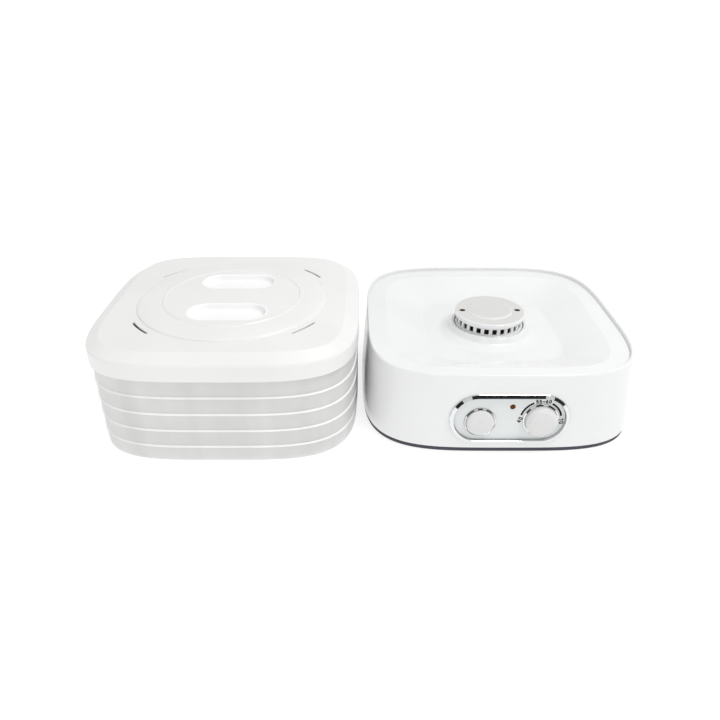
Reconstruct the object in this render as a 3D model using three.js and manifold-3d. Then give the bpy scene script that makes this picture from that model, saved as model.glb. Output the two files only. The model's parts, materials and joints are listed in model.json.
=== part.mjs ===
// Food dehydrator: a heater base with a fan turret and, standing beside it, its stack of five trays under a lid.
// Millimetres, +Z up. The origin is the middle of the footprint, on the surface that both stand on.
import * as THREE from "three";
import { mergeVertices } from "three/addons/utils/BufferGeometryUtils.js";
import Module from "manifold-3d";

const wasm = await Module();
wasm.setup();

// ---------------------------------------------------------------- driving dimensions

const GAP = 0.3; // clearance between neighbouring pieces
const SQUARE = 4; // exponent of the rounded-square outline: 2 is a circle, larger is squarer
const TIGHT_SQUARE = 5; // the squarer outline of the lid's plateau and the dish's slopes
const CIRCLE = 2;
const OUTLINE_SEGMENTS = 28; // round a rounded square
const CORNER_BIAS = 0.4; // draws the outline's points together at its corners
const ROUND = 20; // segments of an ordinary cylinder
const SMALL_ROUND = 8; // segments of a screw or a pin

const BASE_CENTRE = new THREE.Vector3(164.4, 7.6, 0);
const STACK_CENTRE = new THREE.Vector3(-174.2, -20.4, 0);

// Base housing
const SHELL_FOOT = { half: 172, z: 5.8 }; // widest, just above the shell's lower edge
const SHELL_TOP = { half: 165.4, z: 101.6 }; // where the rim starts to round over
const SHELL_LOWER_EDGE = 4.6;
const RIM_TOP = 103.4;
const RIM_INNER_HALF = 162.4;
const WALL = 2.4;
const LEDGE_Z = 98.4; // the seat that the lowest tray stands on
const DISH_WALL = 2.4;
const DISH_FLOOR = { half: 88, z: 77.2 };
const LEDGE_INNER_HALF = 137.5;
const PLATE_BOTTOM = 0.8;
const PLATE_TOP = 4.5;
const PLATE_HALF = 171;

// Fan turret
const TURRET_SEAT_Z = 87;
const COLLAR = { bore: 46.7, outer: 50.3, top: 90 };
const CAGE_RADIUS = 43.5;
const CAGE_FLANGE_RADIUS = 45.5;
const CAGE_TOP = 100.7;
const CAGE_SLOTS = 26;
const CAP_RADIUS = 46.6;
const CAP_TOP = 107.7;
const CAP_DISC_RADIUS = 28.5;
const CAP_DISC_TOP = 109.6;
const CAP_SCREW_X = 37;

// Air path below the turret
const DUCT_RADIUS = 54;
const DUCT_BORE = 52;
const DUCT_BOTTOM = 9;
const DUCT_TOP = 76.5;
const MOTOR = { radius: 21, bottom: 12, top: 31 };
const SHAFT_RADIUS = 2;
const IMPELLER = { hub: 11, tip: 48, bottom: 35, height: 13, blades: 7 };
const HEATER = { bottom: 54, top: 72, rings: [24, 38], ringZ: 63, wire: 1.8 };

// Controls on the sloping front wall, in the wall's own frame: x right, y up the wall, z outwards
const CONTROLS_Z = 46;
const BEZEL = { halfWidth: 70.5, halfHeight: 33, rim: 4.5, back: -4, front: 2 };
const PANEL = { back: -3.8, front: -1.3 };
const BUTTON = { x: -34.3, y: -4, radius: 16.4, ring: 18.4, front: 5.6 };
const KNOB = { x: 36.7, y: -1, radius: 18.7, ring: 21, front: 11 };
const LAMP = { x: 2.6, y: 16, radius: 2.9 };

// Fixings
const PILLAR = { offset: 105, radius: 5, bottom: 8.3, top: 90.2 };
const FOOT = { offset: 122, radius: 8, height: 3.2 };
const GLAND = { x: 60, z: 20, bore: 3.9, body: 6.8, flange: 9.5 };

// Trays and lid
const TRAY_COUNT = 5;
const TRAY_PITCH = 22.4;
const TRAY_FOOT = { outer: 157.9, inner: 155.4 };
const TRAY_BEAD = { half: 160, wall: 159.2, bottom: 18.6, crest: 19.4, top: 21.3 };
const TRAY_NECK_HALF = 157.9; // the tray above stands on the neck, clear of the bead
const TRAY_FLOOR = { bottom: 3.6, top: 5.6 };
const TRAY_LIP = { outer: 155.1, inner: 153.5, height: 2.5 };
const TRAY_DUCT = { bore: 52, outer: 54, top: 16 };
const SLOT_PITCH = 23;
const SLOT_WIDTH = 17.5;
const LID_HALF = 162.2;
const LID_SKIRT_BOTTOM = 109.5;
const LID_SHOULDER = 130.2;
const LID_PLATEAU = { half: 145, z: 138.4 };
const LID_WALL = 1.6;
const LID_DOME = { radius: 120, foot: 137, z: 140.6 }; // the raised round middle
const LID_RING_RADIUS = 86.7;
const LID_GRIP = { y: 47, halfLength: 47.5, halfWidth: 22.5, floor: 133 };
const LID_VENT = { radius: 129, width: 3.2, arc: THREE.MathUtils.degToRad(16) };
const LID_VENT_ANGLES = [41, 139, 221, 319].map(THREE.MathUtils.degToRad);

// ---------------------------------------------------------------- materials

const standard = (color, roughness, metalness = 0) =>
  new THREE.MeshStandardMaterial({ color, roughness, metalness });
const MATERIALS = {
  glossWhite: standard(0xf1f2f2, 0.2),
  lidWhite: standard(0xeeeeec, 0.35),
  trayClear: new THREE.MeshStandardMaterial({
    color: 0xdfe1e3,
    roughness: 0.3,
    transparent: true,
    opacity: 0.75,
  }),
  darkPlate: standard(0x54525c, 0.6),
  rubber: standard(0x26262a, 0.9),
  chrome: standard(0xd8dadd, 0.08, 1),
  panel: standard(0xe6eaea, 0.25),
  amber: standard(0x6a3210, 0.2),
  steel: standard(0xa9abae, 0.35, 1),
  blackPlastic: standard(0x1d1e20, 0.5),
  mica: standard(0xb9a274, 0.7),
  resistance: standard(0x6e6a66, 0.5, 1),
  lead: standard(0xd9dadb, 0.5),
};

// ---------------------------------------------------------------- geometry helpers

// How far a rounded square of half width 1 reaches in the direction of an angle.
function reach(angle, exponent) {
  const along = Math.abs(Math.cos(angle)) ** exponent;
  const across = Math.abs(Math.sin(angle)) ** exponent;
  return (along + across) ** (-1 / exponent);
}

// Turns a profile of [half width, height, exponent] about +Z, along a rounded square in place of a circle.
// The profile closes on itself, or starts and ends on the axis.
function squareLathe(profile, segments = OUTLINE_SEGMENTS) {
  const closed = profile[0][0] > 0 ? [...profile, profile[0]] : profile;
  const points = closed.map(([half, z]) => new THREE.Vector2(half, z));
  const geometry = new THREE.LatheGeometry(points, segments);
  const position = geometry.getAttribute("position");
  for (let i = 0; i < position.count; i++) {
    const turn = (Math.floor(i / closed.length) / segments) * 2 * Math.PI;
    const angle = turn + (CORNER_BIAS * Math.sin(4 * turn)) / 4;
    const [half, z, exponent = SQUARE] = closed[i % closed.length];
    const radius = half * reach(angle, exponent);
    position.setXYZ(i, radius * Math.cos(angle), radius * Math.sin(angle), z);
  }
  return solid(geometry);
}

// A closed geometry as a manifold-3d solid, with its faces pointing out.
function solid(geometry) {
  const bare = new THREE.BufferGeometry();
  const source = geometry.index ? geometry.toNonIndexed() : geometry;
  bare.setAttribute("position", source.getAttribute("position").clone());
  const merged = mergeVertices(bare, 1e-3);
  const vertProperties = new Float32Array(merged.getAttribute("position").array);
  const corners = merged.index.array;
  const whole = [];
  for (let i = 0; i < corners.length; i += 3) {
    const [a, b, c] = [corners[i], corners[i + 1], corners[i + 2]];
    if (a !== b && b !== c && c !== a) whole.push(a, b, c);
  }
  const make = (triVerts) => new wasm.Manifold(new wasm.Mesh({ numProp: 3, vertProperties, triVerts }));
  const made = make(Uint32Array.from(whole));
  return made.volume() > 0 ? made : make(Uint32Array.from(whole.reverse()));
}

// A round profile of [radius, height] turned about +Z.
const turned = (profile, segments = ROUND) => {
  const closed = profile[0][0] > 0 ? [...profile, profile[0]] : profile;
  const points = closed.map(([radius, z]) => new THREE.Vector2(radius, z));
  return solid(new THREE.LatheGeometry(points, segments).rotateX(Math.PI / 2));
};

const disc = (radius, low, high, segments = ROUND) =>
  turned([[0, low], [radius, low], [radius, high], [0, high]], segments);

const ring = (inner, outer, low, high, segments = ROUND) =>
  turned([[inner, low], [outer, low], [outer, high], [inner, high]], segments);

// A block of the given size whose centre is at x, y, z.
const block = (width, depth, height, x = 0, y = 0, z = 0) =>
  solid(new THREE.BoxGeometry(width, depth, height).translate(x, y, z));

// A shape with straight sides and round ends, in the XY plane.
function stadiumPath(PathClass, halfWidth, halfHeight) {
  const path = new PathClass();
  const straight = halfWidth - halfHeight;
  path.absarc(straight, 0, halfHeight, -Math.PI / 2, Math.PI / 2, false);
  path.absarc(-straight, 0, halfHeight, Math.PI / 2, (3 * Math.PI) / 2, false);
  path.closePath();
  return path;
}

const stadium = (halfWidth, halfHeight, low, high) =>
  new THREE.ExtrudeGeometry(stadiumPath(THREE.Shape, halfWidth, halfHeight), {
    depth: high - low,
    bevelEnabled: false,
    curveSegments: 8,
  }).translate(0, 0, low);

// A curved slot that follows a circle about the axis.
function arcSlot(radius, width, arc, middle, low, high) {
  const shape = new THREE.Shape();
  shape.absarc(0, 0, radius + width / 2, middle - arc / 2, middle + arc / 2, false);
  shape.absarc(0, 0, radius - width / 2, middle + arc / 2, middle - arc / 2, true);
  shape.closePath();
  const options = { depth: high - low, bevelEnabled: false, curveSegments: 4 };
  return solid(new THREE.ExtrudeGeometry(shape, options).translate(0, 0, low));
}

// Angles of a number of copies spread evenly about +Z.
const spread = (count, start = 0) =>
  Array.from({ length: count }, (_, i) => start + (i * 2 * Math.PI) / count);

// The four corners of a square pattern, as [name, x, y].
const corners = (offset) => [
  ["front_left", -offset, -offset],
  ["front_right", offset, -offset],
  ["back_left", -offset, offset],
  ["back_right", offset, offset],
];

const degrees = THREE.MathUtils.radToDeg;
const turnedBy = (shape, angle) => shape.rotate([0, 0, degrees(angle)]);

function piece(name, shape, material, parent) {
  const made = shape.getMesh();
  const geometry = new THREE.BufferGeometry();
  geometry.setAttribute("position", new THREE.BufferAttribute(made.vertProperties, 3));
  geometry.setIndex(new THREE.BufferAttribute(made.triVerts, 1));
  geometry.computeVertexNormals();
  const mesh = new THREE.Mesh(geometry, material);
  mesh.name = name;
  parent.add(mesh);
  return mesh;
}

// ---------------------------------------------------------------- the front wall's frame

const WALL_SLOPE = (SHELL_FOOT.half - SHELL_TOP.half) / (SHELL_TOP.z - SHELL_FOOT.z);
const shellHalf = (z) => SHELL_FOOT.half - WALL_SLOPE * (z - SHELL_FOOT.z);

const controls = new THREE.Group();
controls.position.set(0, -shellHalf(CONTROLS_Z), CONTROLS_Z);
controls.rotation.x = Math.PI / 2 - Math.atan(WALL_SLOPE);
controls.updateMatrix();

// ---------------------------------------------------------------- base housing

function outerShell() {
  const wall = squareLathe([
    [SHELL_FOOT.half - 0.5, SHELL_LOWER_EDGE],
    [SHELL_FOOT.half, SHELL_FOOT.z],
    [SHELL_TOP.half, SHELL_TOP.z],
    [SHELL_TOP.half - 0.6, RIM_TOP - 0.4],
    [SHELL_TOP.half - 1.5, RIM_TOP],
    [RIM_INNER_HALF + 0.7, RIM_TOP],
    [RIM_INNER_HALF, RIM_TOP - 0.7],
    [RIM_INNER_HALF, LEDGE_Z - 3],
    [shellHalf(LEDGE_Z - 4) - WALL, LEDGE_Z - 4],
    [SHELL_FOOT.half - WALL - 0.3, SHELL_LOWER_EDGE],
  ]);
  const window = stadium(BEZEL.halfWidth + GAP, BEZEL.halfHeight + GAP, -10, 10);
  const glandHole = new THREE.CylinderGeometry(GLAND.body + GAP, GLAND.body + GAP, 30, ROUND);
  glandHole.translate(GLAND.x, SHELL_FOOT.half - 5, GLAND.z);
  return wall.subtract(solid(window.applyMatrix4(controls.matrix))).subtract(solid(glandHole));
}

// The bowl under the trays: a ledge inside the rim, four slopes, a floor and a mound that carries the turret.
function innerDish() {
  const under = DISH_WALL;
  const bowl = squareLathe([
    [RIM_INNER_HALF - GAP, LEDGE_Z],
    [LEDGE_INNER_HALF, LEDGE_Z, TIGHT_SQUARE],
    [DISH_FLOOR.half, DISH_FLOOR.z, TIGHT_SQUARE],
    [63, DISH_FLOOR.z + 0.6, CIRCLE],
    [55, DISH_FLOOR.z + 5, CIRCLE],
    [COLLAR.outer, COLLAR.top, CIRCLE],
    [COLLAR.bore, COLLAR.top, CIRCLE],
    [COLLAR.bore, TURRET_SEAT_Z, CIRCLE],
    [42, TURRET_SEAT_Z, CIRCLE],
    [42, TURRET_SEAT_Z - under, CIRCLE],
    [49.5, TURRET_SEAT_Z - under, CIRCLE],
    [60, DISH_FLOOR.z - under + 1, CIRCLE],
    [DISH_FLOOR.half, DISH_FLOOR.z - under, TIGHT_SQUARE],
    [LEDGE_INNER_HALF, LEDGE_Z - under, TIGHT_SQUARE],
    [RIM_INNER_HALF - GAP, LEDGE_Z - under],
  ]);
  const pilotHole = 2.1;
  return corners(PILLAR.offset).reduce((made, [, x, y]) => {
    const pillar = disc(PILLAR.radius, PILLAR.bottom, PILLAR.top, SMALL_ROUND).translate([x, y, 0]);
    const pilot = disc(pilotHole, PILLAR.bottom - 1, PILLAR.bottom + 16, SMALL_ROUND).translate([x, y, 0]);
    return made.add(pillar).subtract(pilot);
  }, bowl);
}

function bottomPlate() {
  const ribHalf = SHELL_FOOT.half - WALL - 0.3 - GAP;
  const rib = 1.9;
  let plate = squareLathe([
    [0, PLATE_BOTTOM],
    [PLATE_HALF - 1, PLATE_BOTTOM],
    [PLATE_HALF, PLATE_BOTTOM + 1],
    [PLATE_HALF, SHELL_LOWER_EDGE - GAP],
    [ribHalf, SHELL_LOWER_EDGE - GAP],
    [ribHalf - 0.4, SHELL_LOWER_EDGE + 3.4],
    [ribHalf - 0.4 - rib, SHELL_LOWER_EDGE + 3.4],
    [ribHalf - 0.4 - rib, PLATE_TOP],
    [0, PLATE_TOP],
  ]);
  const intakeSlots = 12;
  for (const angle of spread(intakeSlots)) {
    plate = plate.subtract(turnedBy(block(30, 3.6, 6, 31, 0, 3), angle));
  }
  for (const [, x, y] of corners(PILLAR.offset)) {
    const cup = disc(8, PLATE_BOTTOM, PILLAR.bottom - GAP, SMALL_ROUND);
    const recess = disc(5.4, PLATE_BOTTOM - 1, 5.8, SMALL_ROUND);
    const hole = disc(2.2, 0, 10, SMALL_ROUND);
    plate = plate.add(cup.translate([x, y, 0]));
    plate = plate.subtract(recess.translate([x, y, 0])).subtract(hole.translate([x, y, 0]));
  }
  for (const [, x, y] of corners(FOOT.offset)) {
    const seat = disc(FOOT.radius + GAP, 0, FOOT.height + GAP);
    plate = plate.subtract(seat.translate([x, y, 0]));
  }
  return plate;
}

// A pan-head screw that points up from its head, or down when turned over.
const screw = (head, headHeight, shank, length) =>
  turned(
    [[0, 0], [head * 0.8, 0], [head, headHeight * 0.5], [head, headHeight], [shank, headHeight],
      [shank, headHeight + length], [0, headHeight + length + shank]],
    SMALL_ROUND,
  );

// The cord's bushing in the back wall. Its bore runs along Y.
function cordGland() {
  const outside = 3;
  const inside = 11;
  return turned([
    [GLAND.bore, -inside],
    [GLAND.body - 1, -inside],
    [GLAND.body, -inside + 1.5],
    [GLAND.body, 0],
    [GLAND.flange, 0],
    [GLAND.flange, outside - 1],
    [GLAND.flange - 1.2, outside],
    [GLAND.bore, outside],
  ]);
}

// ---------------------------------------------------------------- fan turret

// A ring of slots round the outlet, with two posts inside that take the cap's screws.
function turretCage() {
  const wall = 2;
  let cage = turned([
    [CAGE_RADIUS - wall, TURRET_SEAT_Z + GAP],
    [CAGE_FLANGE_RADIUS, TURRET_SEAT_Z + GAP],
    [CAGE_FLANGE_RADIUS, TURRET_SEAT_Z + 1.6],
    [CAGE_RADIUS, TURRET_SEAT_Z + 1.6],
    [CAGE_RADIUS, CAGE_TOP],
    [32, CAGE_TOP],
    [32, CAGE_TOP - wall],
    [CAGE_RADIUS - wall, CAGE_TOP - wall],
  ], CAGE_SLOTS);
  for (const side of [-1, 1]) {
    const post = disc(3.6, 92, CAGE_TOP, SMALL_ROUND).translate([side * CAP_SCREW_X, 0, 0]);
    const pilot = disc(1.7, 91, CAGE_TOP + 1, SMALL_ROUND).translate([side * CAP_SCREW_X, 0, 0]);
    cage = cage.add(post).subtract(pilot);
  }
  const slotWidth = 6;
  const slotHeight = 7;
  for (const angle of spread(CAGE_SLOTS, Math.PI / CAGE_SLOTS)) {
    const slot = block(5, slotWidth, slotHeight, CAGE_RADIUS, 0, 95.2);
    cage = cage.subtract(turnedBy(slot, angle));
  }
  return cage;
}

function turretCap() {
  const bottom = CAGE_TOP + GAP;
  let cap = turned([
    [0, bottom],
    [CAP_RADIUS - 0.6, bottom],
    [CAP_RADIUS, bottom + 0.8],
    [CAP_RADIUS, CAP_TOP - 1.8],
    [CAP_RADIUS - 1.4, CAP_TOP - 0.3],
    [CAP_RADIUS - 3, CAP_TOP],
    [CAP_DISC_RADIUS + 1.6, CAP_TOP],
    [CAP_DISC_RADIUS, CAP_TOP + 0.9],
    [CAP_DISC_RADIUS - 1.2, CAP_DISC_TOP],
    [0, CAP_DISC_TOP],
  ], 28);
  for (const side of [-1, 1]) {
    const counterbore = disc(3.3, CAP_TOP - 4.6, CAP_TOP + 1, SMALL_ROUND);
    const hole = disc(1.7, bottom - 1, CAP_TOP, SMALL_ROUND);
    cap = cap.subtract(counterbore.add(hole).translate([side * CAP_SCREW_X, 0, 0]));
  }
  return cap;
}

// ---------------------------------------------------------------- air path

function motorBracket() {
  const arm = { width: 7, low: 17, high: 21 };
  let bracket = ring(MOTOR.radius + GAP, MOTOR.radius + 3, 15, 24);
  for (const angle of spread(3, Math.PI / 2)) {
    const from = MOTOR.radius + 2;
    const length = DUCT_BORE - GAP - 0.2 - from;
    const middle = (arm.low + arm.high) / 2;
    const bar = block(length, arm.width, arm.high - arm.low, from + length / 2, 0, middle);
    bracket = bracket.add(turnedBy(bar, angle));
  }
  return bracket;
}

function motorBody() {
  const bore = disc(SHAFT_RADIUS + GAP, MOTOR.bottom + 4, MOTOR.top + 5, SMALL_ROUND);
  return turned([
    [0, MOTOR.bottom],
    [MOTOR.radius - 1.5, MOTOR.bottom],
    [MOTOR.radius, MOTOR.bottom + 1.5],
    [MOTOR.radius, MOTOR.top - 3],
    [MOTOR.radius - 2, MOTOR.top - 2],
    [6, MOTOR.top - 2],
    [6, MOTOR.top],
    [0, MOTOR.top],
  ]).subtract(bore);
}

function fanImpeller() {
  const { hub, tip, bottom, height, blades } = IMPELLER;
  const middle = bottom + height / 2;
  const bladeAngle = 38;
  let fan = disc(hub, bottom, bottom + height);
  for (const angle of spread(blades)) {
    const length = tip - hub + 3;
    const blade = block(length, height * 1.35, 1.6).rotate([bladeAngle, 0, 0]);
    fan = fan.add(turnedBy(blade.translate([hub - 3 + length / 2, 0, middle]), angle));
  }
  const keep = disc(tip, bottom, bottom + height, ROUND);
  const bore = disc(SHAFT_RADIUS + GAP, bottom - 1, bottom + height - 2, SMALL_ROUND);
  return fan.intersect(keep).subtract(bore);
}

const heaterRing = (radius, wire) =>
  solid(new THREE.TorusGeometry(radius, wire, 8, ROUND).translate(0, 0, HEATER.ringZ));

// Two crossed mica cards. The wire rings pass through notches in them.
function heaterFrame() {
  const height = HEATER.top - HEATER.bottom;
  const middle = (HEATER.top + HEATER.bottom) / 2;
  const span = 2 * (DUCT_BORE - GAP - 0.3);
  const card = block(span, 1.4, height, 0, 0, middle);
  const crossed = card.add(turnedBy(card, Math.PI / 2));
  return HEATER.rings.reduce(
    (made, radius) => made.subtract(heaterRing(radius, HEATER.wire + GAP)),
    crossed,
  );
}

// An insulated wire along a smooth curve through the given points.
function lead(points) {
  const radius = 1.4;
  const path = new THREE.CatmullRomCurve3(points.map(([x, y, z]) => new THREE.Vector3(x, y, z)));
  const section = new THREE.Shape();
  section.absarc(0, 0, radius, 0, 2 * Math.PI, false);
  const options = { steps: 18, extrudePath: path, curveSegments: 3, bevelEnabled: false };
  return solid(new THREE.ExtrudeGeometry(section, options));
}

// ---------------------------------------------------------------- controls

function controlBezel() {
  const { halfWidth, halfHeight, rim, back, front } = BEZEL;
  const round = 1.2;
  const shape = stadiumPath(THREE.Shape, halfWidth - round, halfHeight - round);
  shape.holes.push(stadiumPath(THREE.Path, halfWidth - rim + round, halfHeight - rim + round));
  const options = {
    depth: front - back - 2 * round,
    bevelThickness: round,
    bevelSize: round,
    bevelSegments: 1,
    curveSegments: 8,
  };
  return solid(new THREE.ExtrudeGeometry(shape, options).translate(0, 0, back + round));
}

function controlPanel() {
  const inset = BEZEL.rim + GAP;
  const plate = stadium(BEZEL.halfWidth - inset, BEZEL.halfHeight - inset, PANEL.back, PANEL.front);
  const hole = (radius, { x, y }) => disc(radius, -10, 5).translate([x, y, 0]);
  let panel = solid(plate);
  for (const { x, y } of [BUTTON, KNOB]) {
    for (const side of [-1, 1]) {
      const post = disc(2, -9, PANEL.back + 0.5, SMALL_ROUND);
      panel = panel.add(post.translate([x + side * 21, y, 0]));
    }
  }
  return panel
    .subtract(hole(BUTTON.ring + GAP, BUTTON))
    .subtract(hole(4.2, KNOB))
    .subtract(hole(LAMP.radius + GAP, LAMP));
}

const trimRing = (inner, outer, low, high) =>
  turned([[inner, low], [outer, low], [outer, high - 1], [outer - 0.5, high - 0.2],
    [(inner + outer) / 2, high], [inner + 0.3, high - 0.4], [inner, high - 1]]);

function powerButton() {
  const { radius, front } = BUTTON;
  return turned([
    [0, -16],
    [3, -16],
    [3, -3],
    [radius - 0.4, -3],
    [radius, -2.5],
    [radius, front - 3],
    [radius - 1.2, front - 1.4],
    [radius * 0.6, front - 0.2],
    [0, front],
  ]);
}

function powerSwitch() {
  return block(24, 24, 14, 0, 0, -20).subtract(disc(3 + 0.6, -24, -10, SMALL_ROUND));
}

function temperatureKnob() {
  const { radius, front } = KNOB;
  const low = PANEL.front + 0.6;
  const cap = turned([
    [0, low],
    [radius - 0.2, low],
    [radius, low + 0.6],
    [radius - 0.4, front - 2.6],
    [radius - 1.6, front - 1],
    [radius * 0.7, front - 0.2],
    [0, front],
  ], 32);
  const pointer = block(5, 1, 1.2, -radius + 3.6, 0, front - 0.4);
  return cap.add(pointer).subtract(disc(3 + GAP, low - 1, front - 3.5, SMALL_ROUND));
}

const thermostatShaft = () => disc(3, -19, KNOB.front - 4, SMALL_ROUND);

function thermostat() {
  return turned([[0, -25], [13, -25], [13, -12], [5.5, -12], [5.5, -9.4], [0, -9.4]])
    .subtract(disc(3 + GAP, -20, 0, SMALL_ROUND));
}

const indicatorLens = () =>
  turned([[0, -4], [LAMP.radius, -4], [LAMP.radius, -1], [LAMP.radius * 0.7, -0.1], [0, 0.2]], SMALL_ROUND);

// ---------------------------------------------------------------- trays and lid

// Slots between the bars of a tray's floor, one row for each step across the tray.
function traySlots() {
  const bar = 3;
  const edge = TRAY_LIP.inner - 4;
  const rows = Math.floor(edge / SLOT_PITCH);
  const depth = 4;
  const middle = (TRAY_FLOOR.bottom + TRAY_FLOOR.top) / 2;
  const cuts = [];
  for (let row = -rows; row <= rows; row++) {
    const y = row * SLOT_PITCH;
    const outermost = Math.abs(y) + SLOT_WIDTH / 2;
    if (outermost > edge) continue;
    const end = edge * (1 - (outermost / edge) ** SQUARE) ** (1 / SQUARE);
    const collar = TRAY_DUCT.outer + bar;
    const nearest = Math.max(0, Math.abs(y) - SLOT_WIDTH / 2);
    const start = nearest < collar ? Math.sqrt(collar ** 2 - nearest ** 2) : bar / 2;
    if (end - start < SLOT_WIDTH) continue;
    for (const side of [-1, 1]) {
      cuts.push(block(end - start, SLOT_WIDTH, depth, (side * (start + end)) / 2, y, middle));
    }
  }
  return wasm.Manifold.union(cuts);
}

// One tray. Its foot stands on the neck of the tray below, outside that tray's upstanding lip.
function tray() {
  const top = TRAY_PITCH - GAP;
  return squareLathe([
    [TRAY_FOOT.outer, 0],
    [TRAY_BEAD.wall, TRAY_BEAD.bottom],
    [TRAY_BEAD.half, TRAY_BEAD.crest],
    [TRAY_NECK_HALF, TRAY_BEAD.top],
    [TRAY_NECK_HALF, top],
    [TRAY_LIP.outer, top],
    [TRAY_LIP.outer, top + TRAY_LIP.height],
    [TRAY_LIP.inner, top + TRAY_LIP.height],
    [TRAY_FOOT.inner, TRAY_FLOOR.top],
    [TRAY_DUCT.outer, TRAY_FLOOR.top, CIRCLE],
    [TRAY_DUCT.outer, TRAY_DUCT.top, CIRCLE],
    [TRAY_DUCT.bore, TRAY_DUCT.top, CIRCLE],
    [TRAY_DUCT.bore, TRAY_FLOOR.bottom, CIRCLE],
    [TRAY_FOOT.inner, TRAY_FLOOR.bottom],
    [TRAY_FOOT.inner, 0],
  ]).subtract(traySlots());
}

function lid() {
  const plateau = LID_PLATEAU.z;
  const dome = LID_DOME.z;
  const under = 2.1;
  const inner = LID_HALF - LID_WALL;
  const seat = TRAY_COUNT * TRAY_PITCH;
  let made = squareLathe([
    [0, dome, CIRCLE],
    [LID_RING_RADIUS - 1.2, dome, CIRCLE],
    [LID_RING_RADIUS, dome + 0.6, CIRCLE],
    [LID_RING_RADIUS + 1.2, dome - 0.1, CIRCLE],
    [103, dome - 0.6, CIRCLE],
    [115, dome - 1.8, CIRCLE],
    [LID_DOME.radius, LID_DOME.foot, CIRCLE],
    [LID_PLATEAU.half, plateau, TIGHT_SQUARE],
    [LID_HALF - 1, LID_SHOULDER],
    [LID_HALF, LID_SHOULDER - 1.4],
    [LID_HALF, LID_SKIRT_BOTTOM],
    [inner, LID_SKIRT_BOTTOM],
    [inner, seat],
    [TRAY_FOOT.inner, seat],
    [TRAY_FOOT.inner, seat + 3.4],
    [inner - 0.6, seat + 5],
    [inner - 0.6, LID_SHOULDER - 2],
    [LID_PLATEAU.half - 1, plateau - under, TIGHT_SQUARE],
    [LID_DOME.radius, LID_DOME.foot - under, CIRCLE],
    [104, dome - 0.6 - under, CIRCLE],
    [0, dome - under, CIRCLE],
  ]);
  const { halfLength, halfWidth, floor } = LID_GRIP;
  for (const y of [-LID_GRIP.y, LID_GRIP.y]) {
    const cup = stadium(halfLength + LID_WALL, halfWidth + LID_WALL, floor - LID_WALL, dome - 1);
    const hollow = stadium(halfLength, halfWidth, floor, dome + 5);
    made = made.add(solid(cup.translate(0, y, 0))).subtract(solid(hollow.translate(0, y, 0)));
  }
  for (const middle of LID_VENT_ANGLES) {
    made = made.subtract(arcSlot(LID_VENT.radius, LID_VENT.width, LID_VENT.arc, middle, 120, 150));
  }
  return made;
}

// ---------------------------------------------------------------- assembly

const dehydrator = new THREE.Group();

const base = new THREE.Group();
base.position.copy(BASE_CENTRE);
base.add(controls);
dehydrator.add(base);

piece("outer_shell", outerShell(), MATERIALS.glossWhite, base);
piece("inner_dish", innerDish(), MATERIALS.glossWhite, base);
piece("bottom_plate", bottomPlate(), MATERIALS.darkPlate, base);
for (const [corner, x, y] of corners(FOOT.offset)) {
  const foot = piece("foot_" + corner, disc(FOOT.radius, 0, FOOT.height), MATERIALS.rubber, base);
  foot.position.set(x, y, 0);
}
for (const [corner, x, y] of corners(PILLAR.offset)) {
  const housingScrew = screw(4.4, 2.6, 1.8, 14);
  const placed = piece("housing_screw_" + corner, housingScrew, MATERIALS.steel, base);
  placed.position.set(x, y, 2.9);
}
const gland = piece("cord_gland", cordGland(), MATERIALS.rubber, base);
gland.rotation.x = -Math.PI / 2;
gland.position.set(GLAND.x, shellHalf(GLAND.z - GLAND.flange) + GAP, GLAND.z);

piece("turret_cage", turretCage(), MATERIALS.glossWhite, base);
piece("turret_cap", turretCap(), MATERIALS.glossWhite, base);
for (const [side, x] of [["left", -CAP_SCREW_X], ["right", CAP_SCREW_X]]) {
  const capScrew = piece("cap_screw_" + side, screw(2.9, 1.6, 1.3, 9), MATERIALS.steel, base);
  capScrew.rotation.x = Math.PI;
  capScrew.position.set(x, 0, CAP_TOP - 2.6);
}

piece("air_duct", ring(DUCT_BORE, DUCT_RADIUS, DUCT_BOTTOM, DUCT_TOP, 32), MATERIALS.steel, base);
piece("motor_body", motorBody(), MATERIALS.steel, base);
piece("motor_bracket", motorBracket(), MATERIALS.blackPlastic, base);
const shaftTop = IMPELLER.bottom + IMPELLER.height - 3;
piece("motor_shaft", disc(SHAFT_RADIUS, MOTOR.bottom + 5, shaftTop, SMALL_ROUND), MATERIALS.steel, base);
piece("fan_impeller", fanImpeller(), MATERIALS.blackPlastic, base);
piece("heater_frame", heaterFrame(), MATERIALS.mica, base);
piece("heater_ring_inner", heaterRing(HEATER.rings[0], HEATER.wire), MATERIALS.resistance, base);
piece("heater_ring_outer", heaterRing(HEATER.rings[1], HEATER.wire), MATERIALS.resistance, base);
const fuse = piece("thermal_fuse", disc(2.6, -8, 8, SMALL_ROUND), MATERIALS.steel, base);
fuse.position.set(0, DUCT_RADIUS + 2.6 + GAP, 60);

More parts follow.
